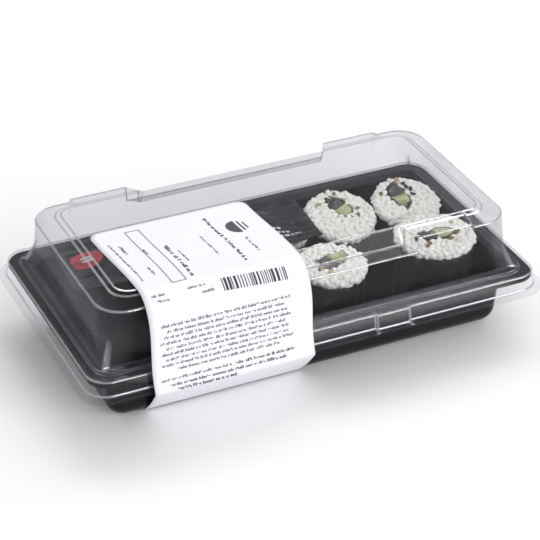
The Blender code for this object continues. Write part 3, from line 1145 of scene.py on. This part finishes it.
    def build_print(self) -> None:
        """Build the print: plain bars, an empty box, a stripe block and a half disc. All sizes are in mm."""
        dark, grey = Print(self.surface), Print(self.surface)
        columns = (
            (dark, -10.0, (19.5, 44.0), 1.7), (dark, 12.8, (7.0, 42.5), 1.5), (grey, 5.2, (18.7, 34.0), 0.9),
            (grey, -7.0, (25.0, 33.5), 0.9), (grey, -28.6, (10.3, 40.0), 0.9),
            (grey, -25.4, (13.0, 20.0), 1.3), (dark, -18.4, (18.5, 24.5), 1.6),
            (grey, -22.8, (31.5, 38.0), 1.2),
        )
        for marks, across, along, height in columns:
            self.line(marks, across, along, height, True)
        grey.frame((4.0, 45.5), (-19.4, -13.4), 0.36)
        dark.disc((17.9, 21.6), 4.6, 180.0, 180.0)
        dark.bar((14.2, 21.6), (22.6, 23.3))
        dark.bar((15.4, 20.4), (24.4, 25.0))
        self.line(grey, 20.2, (26.5, 38.0), 1.2, True)
        self.stripes(dark, (-1.4, 25.0), (49.4, 55.0))
        groups = (
            (grey, 1.2, (
                (50.3, -29.4, -24.2), (53.0, -28.0, -22.8), (50.2, -15.0, -6.5), (53.2, -10.0, -4.2),
            )),
            (grey, 1.15, (
                (62.6, -28.5, 23.9), (64.7, -26.4, 21.6), (66.8, -27.8, 22.4), (68.9, -29.3, 24.2),
                (71.1, -27.0, 22.3), (73.2, -28.7, 23.1), (75.4, -27.2, 22.6), (77.5, -29.0, 25.0),
                (79.7, -23.0, 19.0), (83.4, -29.8, -1.0),
            )),
            (dark, 1.25, ((83.4, 0.0, 25.2), (85.8, -26.4, 21.0), (88.0, -23.7, 0.5))),
        )
        for marks, height, rows in groups:
            for along, start, end in rows:
                self.line(marks, along, (start, end), height, False)
        dark.finish("label_print_dark", PRINT_DARK.material(), "label")
        grey.finish("label_print_grey", PRINT_GREY.material(), "label")

    def build(self) -> None:
        """Build and dress the label."""
        self.build_band()
        self.build_print()


@dataclass
class Sachet:
    """The sauce sachet: a flat pillow with sealed ends that dips towards its left end."""

    length: float = 104.0 * MM
    width: float = 30.0 * MM
    bulge: float = 2.6 * MM
    film: float = 0.5 * MM
    seal: float = 6.0 * MM
    swell_run: float = 14.0 * MM
    lift: float = 3.4 * MM
    place: tuple[float, float, float] = (-28.2 * MM, 15.7 * MM, 33.5 * MM)
    turn: float = -3.3
    crumple: float = 0.45 * MM
    ridge: float = 0.5 * MM
    ridge_run: float = 12.0 * MM
    crimp: float = 0.07 * MM
    columns: int = 96
    rows: int = 28
    matrix: Matrix = field(init=False)

    def __post_init__(self) -> None:
        """Work out where the sachet lies."""
        x, y, z = self.place
        turn = Matrix.Rotation(math.radians(self.turn), 4, "Z")
        self.matrix = Matrix.Translation((x, y + MIDDLE_Y, z)) @ turn

    def point(self, along: float, across: float, side: float) -> Vector:
        """Return a point of the film.

        Args:
            along: -0.5 at the left end to 0.5 at the right.
            across: -0.5 at the front to 0.5 at the back.
            side: 0.5 on top and -0.5 below.

        Returns:
            The point in the pack's frame.
        """
        from_end = (0.5 - abs(along)) * self.length
        swell = min(1.0, max(0.0, (from_end - self.seal) / self.swell_run))
        swell = swell * swell * (3 - 2 * swell) * max(0.0, 1 - (abs(across) * 2.25) ** 2)
        lift = self.lift * (0.5 + along) ** 2
        folds = noise.noise(Vector((along * 26.0, across * 5.0, side)))
        wrinkle = folds * self.crumple * (0.3 + 0.7 * swell)
        near = max(0.0, 1 - abs(from_end - self.seal) / self.ridge_run)
        wave = across * 34.0 + 6.0 * noise.noise(Vector((across * 6, along * 4, 0)))
        wrinkle += self.ridge * near * math.sin(wave)
        crimp = self.crimp * math.sin(along * self.length / MM * 4.2) * (from_end < self.seal)
        y = across * self.width * (1 - 0.04 * swell)
        z = side * self.film + math.copysign(self.bulge, side) * swell + lift + wrinkle + crimp
        return self.matrix @ Vector((along * self.length, y, z))

    def surface(self, along: float, across: float, lift: float) -> Vector:
        """Return the point so far right of the sachet's middle, back of it and over its film."""
        return self.point(along / self.length, across / self.width, 0.5) + Vector((0, 0, lift))

    def build(self) -> None:
        """Build and dress the sachet and its plain print."""
        mesh = bmesh.new()
        bmesh.ops.create_cube(mesh, size=1.0)
        for axis, cuts in ((0, self.columns - 1), (1, self.rows - 1)):
            edges = [e for e in mesh.edges if abs(e.verts[0].co[axis] - e.verts[1].co[axis]) > 0.5]
            bmesh.ops.subdivide_edges(mesh, edges=edges, cuts=cuts, use_grid_fill=True)
        for vert in mesh.verts:
            vert.co = self.point(*vert.co)
        finish_piece("sachet_pillow", mesh, [SACHET_FILM.material()], "sachet", ("sachet",))
        white, red = Print(self.surface), Print(self.surface)
        draw = random.Random(5)
        for row, (start, end) in enumerate([(28.5, 37.5), (32.0, 41.0), (35.0, 44.5)]):
            at = start
            while at < end:
                stop = min(end, at + draw.uniform(1.0, 2.2))
                white.bar((at, stop), (-5.8 - 2.6 * row, -4.6 - 2.6 * row))
                at = stop + 0.6
        white.frame((25.5, 29.5), (8.5, 11.5), 0.5)
        red.lift = 0.14 * MM
        red.disc((-41.5, 5.0), 6.6)
        white.lift = 0.22 * MM
        white.bar((-43.8, -39.2), (5.6, 7.2))
        white.bar((-43.8, -39.2), (2.8, 4.4))
        white.finish("sachet_print_white", PRINT_WHITE.material(), "sachet")
        red.finish("sachet_print_red", PRINT_RED.material(), "sachet")


@dataclass(frozen=True)
class Filling:
    """Where a roll's filling sits off its middle, how long its oval is and how far it is turned."""

    right: float
    back: float
    length: float
    turn: float


@dataclass(frozen=True)
class Roll:
    """One roll: middle of its top face, radius, lean towards the front, filling and seeds.

    Lengths are in mm and angles in degrees. A seed is its place right and back of the middle, its turn
    and its tone.
    """

    name: str
    x: float
    y: float
    top: float
    radius: float
    lean: float
    filling: Filling
    seeds: tuple[tuple[float, float, float, Tone], ...] = ()
    floor_z: float = 6.8
    wide: float = 8.4
    wrap_drop: float = 2.6
    nori: float = 0.4

    def height(self) -> float:
        """Return the roll's height, in mm."""
        lean = math.radians(self.lean)
        return (self.top - self.radius * math.sin(lean) - self.floor_z) / math.cos(lean)

    def stand(self) -> Matrix:
        """Return the place of the middle of the top face, turned as the roll leans."""
        place = Matrix.Translation((self.x * MM, self.y * MM + MIDDLE_Y, self.top * MM))
        return place @ Matrix.Rotation(math.radians(self.lean), 4, "X")

    def offset(self) -> Vector:
        """Return the middle of the filling's oval, in mm from the roll's middle."""
        return Vector((self.filling.right, self.filling.back, 0.0))

    def ray(self, angle: float) -> Vector:
        """Return the direction at an angle round the oval's middle, in radians."""
        turned = angle + math.radians(self.filling.turn)
        return Vector((math.cos(turned), math.sin(turned), 0.0))

    def oval(self, angle: float, margin: float) -> Vector:
        """Return a point of the filling's oval, in mm from the roll's middle.

        Args:
            angle: angle round the oval's middle, in radians.
            margin: how far outside the oval.

        Returns:
            The point.
        """
        across, along = self.wide / 2 + margin, self.filling.length / 2 + margin
        reach = across * along / math.hypot(along * math.cos(angle), across * math.sin(angle))
        return self.offset() + reach * self.ray(angle)

    def rim(self, angle: float, radius: float) -> Vector:
        """Return where the ray from the oval's middle at this angle leaves a circle.

        Args:
            angle: angle round the oval's middle, in radians.
            radius: the circle's radius, in mm.

        Returns:
            The point, in mm from the roll's middle.
        """
        ray, offset = self.ray(angle), self.offset()
        along = offset.dot(ray)
        return offset + ray * (-along + math.sqrt(along**2 + radius**2 - offset.length_squared))

    def in_filling(self, x: float, y: float, margin: float) -> bool:
        """Return whether a point of the top face lies on the filling or near it.

        Args:
            x: how far right of the roll's middle, in mm.
            y: how far back of it, in mm.
            margin: how near counts, in mm.

        Returns:
            True where it does.
        """
        turn = -math.radians(self.filling.turn)
        dx, dy = x - self.filling.right, y - self.filling.back
        across = dx * math.cos(turn) - dy * math.sin(turn)
        along = dx * math.sin(turn) + dy * math.cos(turn)
        half_wide, half_long = self.wide / 2 + margin, self.filling.length / 2 + margin
        return math.hypot(across / half_wide, along / half_long) < 1.0


@dataclass
class RollBuilder:
    """Builds every roll's rice, seaweed and filling. Lengths are in mm.

    Grains stay grain_inset inside the rim and may reach overhang over the filling's edge.
    """

    rolls: tuple[Roll, ...]
    grain_spacing: float = 1.8
    grain_tries: int = 2600
    grain_half: tuple[float, float, float] = (2.5, 1.35, 1.15)
    grain_inset: float = 1.0
    overhang: float = 0.25
    rim_levels: tuple[float, float] = (-0.9, -1.7)
    rim_grains: int = 36
    core_columns: int = 72
    core_rough: float = 0.55
    wrap_ragged: float = 0.7
    wrap_dent: float = 0.2
    seed_half: tuple[float, float, float] = (1.45, 0.85, 0.42)
    rice: bpy.types.Material = field(default_factory=COOKED_RICE.material)
    seaweed: bpy.types.Material = field(default_factory=SEAWEED.material)
    flesh: bpy.types.Material = field(default_factory=CUCUMBER_FLESH.material)
    skin: bpy.types.Material = field(default_factory=CUCUMBER_SKIN.material)
    mass: bpy.types.Material = field(default_factory=DARK_FILLING.material)

    def core(self, roll: Roll) -> bmesh.types.BMesh:
        """Return the rice under the loose grains, open round the filling.

        Args:
            roll: the roll.

        Returns:
            The mesh in the pack's frame.
        """
        height, inside = roll.height(), roll.radius - roll.nori - 0.3
        rim = roll.radius * 0.96
        sink = 0.5
        stations = [(0.0, rim, -height), (0.0, rim, -height / 2), (0.0, rim, -sink - 0.5)]
        stations += [(share, rim, -sink) for share in (0.06, 0.2, 0.35, 0.5, 0.65, 0.8, 0.92)]
        stations += [(1.0, rim, -sink - 0.7), (1.0, rim, -2.1)]
        stations += [(1.0, inside, -2.3), (1.0, inside, -height / 2), (1.0, inside, -height)]
        stand = roll.stand()

        def place(column: int, row: int) -> Vector:
            """Return a vertex of the core.

            Args:
                column: its number across.
                row: its number along.

            Returns:
                Its place in the pack's frame.
            """
            share, radius, z = stations[row % len(stations)]
            angle = 2 * math.pi * (column % self.core_columns) / self.core_columns
            hole, edge = roll.oval(angle, 0.25), roll.rim(angle, radius)
            point = hole + (edge - hole) * share
            rough = self.core_rough if z > -2.2 and share > 0 else 0.0
            bump = noise.noise(Vector((point.x, point.y, z + roll.x)) * 0.9) * rough
            out = Vector((point.x, point.y, 0.0)).normalized() if share == 1.0 else Vector((0, 0, 1))
            return stand @ ((point + Vector((0, 0, z)) + out * bump) * MM)

        mesh = mapped_grid(self.core_columns, len(stations), place)
        bmesh.ops.recalc_face_normals(mesh, faces=mesh.faces)
        return mesh

    def grain(self, mesh: bmesh.types.BMesh, place: Matrix, draw: random.Random) -> None:
        """Add one grain.

        Args:
            mesh: the rice that it joins.
            place: its place in the pack's frame, in metres.
            draw: where its size comes from.
        """
        size = [half * draw.uniform(0.85, 1.12) * MM for half in self.grain_half]
        bmesh.ops.create_uvsphere(
            mesh, u_segments=6, v_segments=5, radius=1.0, matrix=place @ Matrix.Diagonal((*size, 1.0))
        )

    def build_rice(self, roll: Roll) -> None:
        """Build a roll's rice: its core and the grains on its top face and round its rim.

        Args:
            roll: the roll.
        """
        draw = random.Random(roll.name)
        mesh = self.core(roll)
        stand = roll.stand()
        spots: list[tuple[float, float]] = []
        reach = roll.radius - self.grain_inset
        for _ in range(self.grain_tries):
            x, y = draw.uniform(-reach, reach), draw.uniform(-reach, reach)
            if math.hypot(x, y) > reach or roll.in_filling(x, y, -self.overhang):
                continue
            if any(math.hypot(x - a, y - b) < self.grain_spacing for a, b in spots):
                continue
            spots.append((x, y))
            turn = Matrix.Rotation(draw.uniform(0, math.pi), 4, "Z")
            tilt = Matrix.Rotation(draw.gauss(0, 0.22), 4, "Y")
            z = draw.uniform(-0.75, -0.25)
            self.grain(mesh, stand @ Matrix.Translation(Vector((x, y, z)) * MM) @ turn @ tilt, draw)
        for level in self.rim_levels:
            for step in range(self.rim_grains):
                angle = 2 * math.pi * (step + draw.uniform(-0.3, 0.3)) / self.rim_grains
                out = roll.radius - 0.75 + draw.uniform(-0.25, 0.35)
                z = level + draw.uniform(-0.25, 0.25)
                spot = Vector((out * math.cos(angle), out * math.sin(angle), z))
                turn = Matrix.Rotation(angle + math.pi / 2 + draw.gauss(0, 0.5), 4, "Z")
                tilt = Matrix.Rotation(draw.gauss(0, 0.3), 4, "Y")
                self.grain(mesh, stand @ Matrix.Translation(spot * MM) @ turn @ tilt, draw)
        name = "rice_" + roll.name
        finish_piece(name + "_grains", mesh, [self.rice], "rice", (name,), 80.0)

    def build_wrap(self, roll: Roll) -> None:
        """Build a roll's seaweed wrap, with a ragged top edge and small dents.

        Args:
            roll: the roll.
        """
        columns, rows = 96, 8
        stand, height = roll.stand(), roll.height()
        top = -roll.wrap_drop

        def place(column: int, row: int) -> Vector:
            """Return a vertex of the wrap's outer face.

            Args:
                column: its number across.
                row: its number along.

            Returns:
                Its place in the pack's frame.
            """
            angle = 2 * math.pi * (column % columns) / columns
            share = row / rows
            waves = noise.noise(Vector((math.cos(angle) * 4, math.sin(angle) * 4, roll.x)))
            ragged = waves * self.wrap_ragged * share
            z = -height + (height + top) * share + ragged
            dent = noise.noise(Vector((angle * 3, z * 0.3, roll.y))) * self.wrap_dent
            out = (roll.radius - 0.05 + min(0.0, dent)) * MM
            return stand @ Vector((out * math.cos(angle), out * math.sin(angle), z * MM))

        mesh = mapped_grid(columns, rows, place)
        bmesh.ops.recalc_face_normals(mesh, faces=mesh.faces)
        face = next(iter(mesh.faces))
        if face.normal.dot(face.calc_center_median() - stand.translation) < 0:
            bmesh.ops.reverse_faces(mesh, faces=mesh.faces)
        name = "nori_" + roll.name
        piece = finish_piece(name + "_wrap", mesh, [self.seaweed], "nori", (name,))
        thicken(piece, roll.nori * MM)

    def build_filling(self, roll: Roll, side: Side) -> None:
        """Build one half of a roll's filling, with a rind along its curved side.

        Args:
            roll: the roll.
            side: which half.
        """
        steps = 20
        spin = Matrix.Rotation(math.radians(roll.filling.turn), 4, "Z")
        middle = roll.offset()
        outline = []
        for step in range(steps + 1):
            angle = math.pi * step / steps
            y = 0.15 + (roll.filling.length / 2 - 0.15) * math.sin(angle)
            ragged = 1.0 + 0.22 * math.sin(angle) * noise.noise(Vector((angle * 2.2, roll.x, side.value)))
            outline.append(Vector((roll.wide / 2 * math.cos(angle), side.value * y, 0.0)) * ragged)
            outline[-1].z = -roll.height()
        mesh = bmesh.new()
        face = mesh.faces.new([mesh.verts.new(point) for point in outline])
        face.normal_update()
        if face.normal.z > 0:
            bmesh.ops.reverse_faces(mesh, faces=[face])
        grown = bmesh.ops.extrude_face_region(mesh, geom=[face])["geom"]
        verts = [item for item in grown if isinstance(item, bmesh.types.BMVert)]
        bmesh.ops.translate(mesh, verts=verts, vec=Vector((0, 0, roll.height() + 0.45)))
        top = next(item for item in grown if isinstance(item, bmesh.types.BMFace))
        bmesh.ops.recalc_face_normals(mesh, faces=mesh.faces)
        edge, rind = 0.35, 0.55
        rings = bmesh.ops.inset_region(mesh, faces=[top], thickness=edge, depth=0.0)["faces"]
        rings += bmesh.ops.inset_region(mesh, faces=[top], thickness=rind, depth=0.12)["faces"]
        bmesh.ops.poke(mesh, faces=[top])
        for item in mesh.faces:
            centre = item.calc_center_median()
            curved = abs(centre.y) > 0.75 and centre.z > 0.2
            side_wall = abs(item.normal.z) < 0.5 and abs(centre.y) > 0.3
            item.material_index = 1 if side_wall or (item in rings and curved) else 0
        for vert in mesh.verts:
            if vert.co.z > 0:
                vert.co.z += noise.noise(vert.co * 0.6 + Vector((roll.x, 0, 0))) * 0.35
        stand = roll.stand()
        for vert in mesh.verts:
            vert.co = stand @ ((middle + spin @ vert.co) * MM)
        kind, slot = ("fold_", "nori") if side is Side.BACK else ("cucumber_", "cucumber")
        finishes = [self.mass, self.seaweed] if side is Side.BACK else [self.flesh, self.skin]
        finish_piece(kind + roll.name + "_cut", mesh, finishes, slot, (kind + roll.name,), 50.0)

    def build_seeds(self) -> None:
        """Build the sesame seeds, one piece for each tone."""
        for tone in Tone:
            mesh = bmesh.new()
            draw = random.Random(tone.value)
            for roll in self.rolls:
                for x, y, turn, seed_tone in roll.seeds:
                    if seed_tone is not tone:
                        continue
                    spot = Matrix.Translation(Vector((x, y, 0.75)) * MM)
                    spin = Matrix.Rotation(math.radians(turn), 4, "Z")
                    spin = spin @ Matrix.Rotation(draw.gauss(0, 0.2), 4, "Y")
                    size = [half * draw.uniform(0.9, 1.1) * MM for half in self.seed_half]
                    bmesh.ops.create_uvsphere(
                        mesh, u_segments=8, v_segments=6, radius=1.0,
                        matrix=roll.stand() @ spot @ spin @ Matrix.Diagonal((*size, 1.0)),
                    )
            finish_piece("sesame_" + tone.value, mesh, [SESAME[tone].material()], "rice")

    def build(self) -> None:
        """Build and dress every roll."""
        for roll in self.rolls:
            self.build_rice(roll)
            self.build_wrap(roll)
            self.build_filling(roll, Side.BACK)
            self.build_filling(roll, Side.FRONT)
        self.build_seeds()


ROLLS = (
    Roll("back_left", 8.6, 15.0, 31.8, 13.7, 0.0, Filling(0.0, 2.0, 13.0, 20.0)),
    Roll(
        "back_middle", 38.6, 13.2, 34.0, 14.3, 14.0, Filling(1.5, 4.2, 14.0, 25.0),
        (
            (2.6, 12.0, 70.0, Tone.BROWN), (0.2, 8.2, 40.0, Tone.BLACK), (-0.6, 7.0, 80.0, Tone.BLACK),
            (8.3, 1.2, 20.0, Tone.BROWN), (4.9, 7.6, 110.0, Tone.TAN), (-6.7, 7.7, 15.0, Tone.TAN),
            (6.6, -2.8, 60.0, Tone.BROWN),
        ),
    ),
    Roll(
        "back_right", 68.8, 12.2, 33.6, 13.7, 17.0, Filling(-1.5, 4.2, 15.0, 4.0),
        (
            (1.5, 12.4, 35.0, Tone.TAN), (-0.3, 10.8, 80.0, Tone.BROWN), (2.8, 9.6, 20.0, Tone.BLACK),
            (4.6, 5.8, 60.0, Tone.BLACK), (4.3, 2.9, 130.0, Tone.BLACK), (0.6, -1.6, 15.0, Tone.BLACK),
            (-8.8, 6.8, 45.0, Tone.BROWN), (3.3, 7.6, 100.0, Tone.BLACK),
        ),
    ),
    Roll("front_left", -11.0, -17.2, 32.0, 13.7, 0.0, Filling(0.0, 1.5, 13.0, -30.0)),
    Roll(
        "front_middle", 18.5, -19.4, 34.0, 13.6, 5.0, Filling(1.3, 1.5, 16.0, 116.0),
        ((-4.8, 2.9, 30.0, Tone.BLACK), (-5.6, -2.1, 75.0, Tone.TAN), (-3.0, -5.2, 20.0, Tone.TAN)),
    ),
    Roll(
        "front_right", 65.0, -18.8, 35.8, 16.0, 0.0, Filling(0.3, -0.5, 17.0, 84.0),
        (
            (-9.2, -1.7, 95.0, Tone.BLACK), (-7.2, -8.0, 60.0, Tone.BROWN), (-5.6, -6.4, 100.0, Tone.BROWN),
            (8.9, -3.0, 30.0, Tone.BROWN), (3.9, -6.8, 10.0, Tone.BROWN), (10.2, 4.3, 60.0, Tone.TAN),
        ),
    ),
)


@dataclass
class Studio:
    """Pale floor, soft light and the camera at the photograph's view."""

    azimuth: float = -24.961
    elevation: float = 31.865
    roll: float = 0.147
    distance: float = 846.57 * MM
    focal_px: float = 2100.05
    frame_px: float = 540.0
    sensor: float = 36.0
    centre_px: tuple[float, float] = (-0.887, -0.428)
    target: tuple[float, float, float] = (0.0, MIDDLE_Y, 25.0 * MM)
    floor_size: float = 4.0

    def build_camera(self) -> None:
        """Place the camera."""
        azimuth, elevation = math.radians(self.azimuth), math.radians(self.elevation)
        level = math.cos(elevation)
        back = Vector((math.sin(azimuth) * level, -math.cos(azimuth) * level, math.sin(elevation)))
        data = bpy.data.cameras.new("camera")
        data.sensor_width = self.sensor
        data.lens = self.focal_px * self.sensor / self.frame_px
        data.shift_x = -self.centre_px[0] / self.frame_px
        data.shift_y = self.centre_px[1] / self.frame_px
        data.clip_start, data.clip_end = 0.01, 20.0
        camera = bpy.data.objects.new("camera", data)
        camera.location = Vector(self.target) + back * self.distance
        aim = (-back).to_track_quat("-Z", "Y").to_matrix().to_4x4()
        camera.rotation_euler = (aim @ Matrix.Rotation(math.radians(self.roll), 4, "Z")).to_euler()
        bpy.context.scene.collection.objects.link(camera)
        bpy.context.scene.camera = camera

    def build_floor(self) -> None:
        """Lay the floor."""
        shade = Shade("studio_floor")
        tone = shade.blend(shade.noise(3.0), (0.90, 0.90, 0.90), (0.92, 0.92, 0.92))
        shade.set(Base_Color=tone, Roughness=0.7, Specular_IOR_Level=0.1)
        half = self.floor_size / 2

        def place(column: int, row: int) -> Vector:
            """Return a corner of the floor."""
            return Vector((half * (2 * column - 1), half * (2 * row - 1), -0.05 * MM))

        data = bpy.data.meshes.new("studio_floor")
        mesh = mapped_grid(1, 1, place)
        mesh.to_mesh(data)
        mesh.free()
        data.materials.append(shade.material)
        floor = bpy.data.objects.new("studio_floor", data)
        bpy.context.scene.collection.objects.link(floor)

    def build_sky(self) -> None:
        """Surround the pack with white that darkens overhead."""
        world = bpy.data.worlds.new("studio_sky")
        world.use_nodes = True
        nodes = Nodes(world.node_tree)
        height = nodes.add("ShaderNodeSeparateXYZ", {}, {0: nodes.add("ShaderNodeTexCoord")}, out=2)
        bands = [(0.0, 0.5), (0.50, 0.48), (0.58, 0.60), (0.68, 1.0), (0.8, 0.6), (1.0, 0.4)]
        stops = [(place, (level, level, level * 1.02)) for place, level in bands]
        colour = nodes.add("ShaderNodeValToRGB", {"stops": stops}, {0: height})
        background = world.node_tree.nodes["Background"]
        world.node_tree.links.new(colour.out, background.inputs["Color"])
        background.inputs["Strength"].default_value = 1.25
        bpy.context.scene.world = world

    def add_panel(self, name: str, place: tuple, size: tuple[float, float], power: float) -> None:
        """Hang a soft light that faces the pack.

        Args:
            name: the light's name.
            place: its place in metres.
            size: its width and height in metres.
            power: its power in watts.
        """
        data = bpy.data.lights.new(name, "AREA")
        data.shape = "RECTANGLE"
        data.size, data.size_y = size
        data.energy = power
        lamp = bpy.data.objects.new(name, data)
        lamp.location = place
        lamp.rotation_euler = (Vector(self.target) - Vector(place)).to_track_quat("-Z", "Y").to_euler()
        bpy.context.scene.collection.objects.link(lamp)

    def build(self) -> None:
        """Build the studio."""
        self.build_camera()
        self.build_floor()
        self.build_sky()
        self.add_panel("back_strip", (0.50, 0.66, 1.14), (1.2, 0.42), 6.5)
        self.add_panel("front_strip", (0.50, -1.15, 0.60), (1.2, 0.30), 9.0)
        view = bpy.context.scene.view_settings
        view.view_transform = "Standard"


def main() -> None:
    """Build every sub-assembly and the studio."""
    logging.basicConfig(level=logging.INFO, format="%(name)s %(message)s")
    for item in list(bpy.data.objects):
        bpy.data.objects.remove(item, do_unlink=True)
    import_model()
    Studio().build()
    tray = Tray()
    lid = Lid(tray)
    tray.build()
    RollBuilder(ROLLS).build()
    Sachet().build()
    lid.build()
    Label(lid).build()


if __name__ == "__main__":
    main()
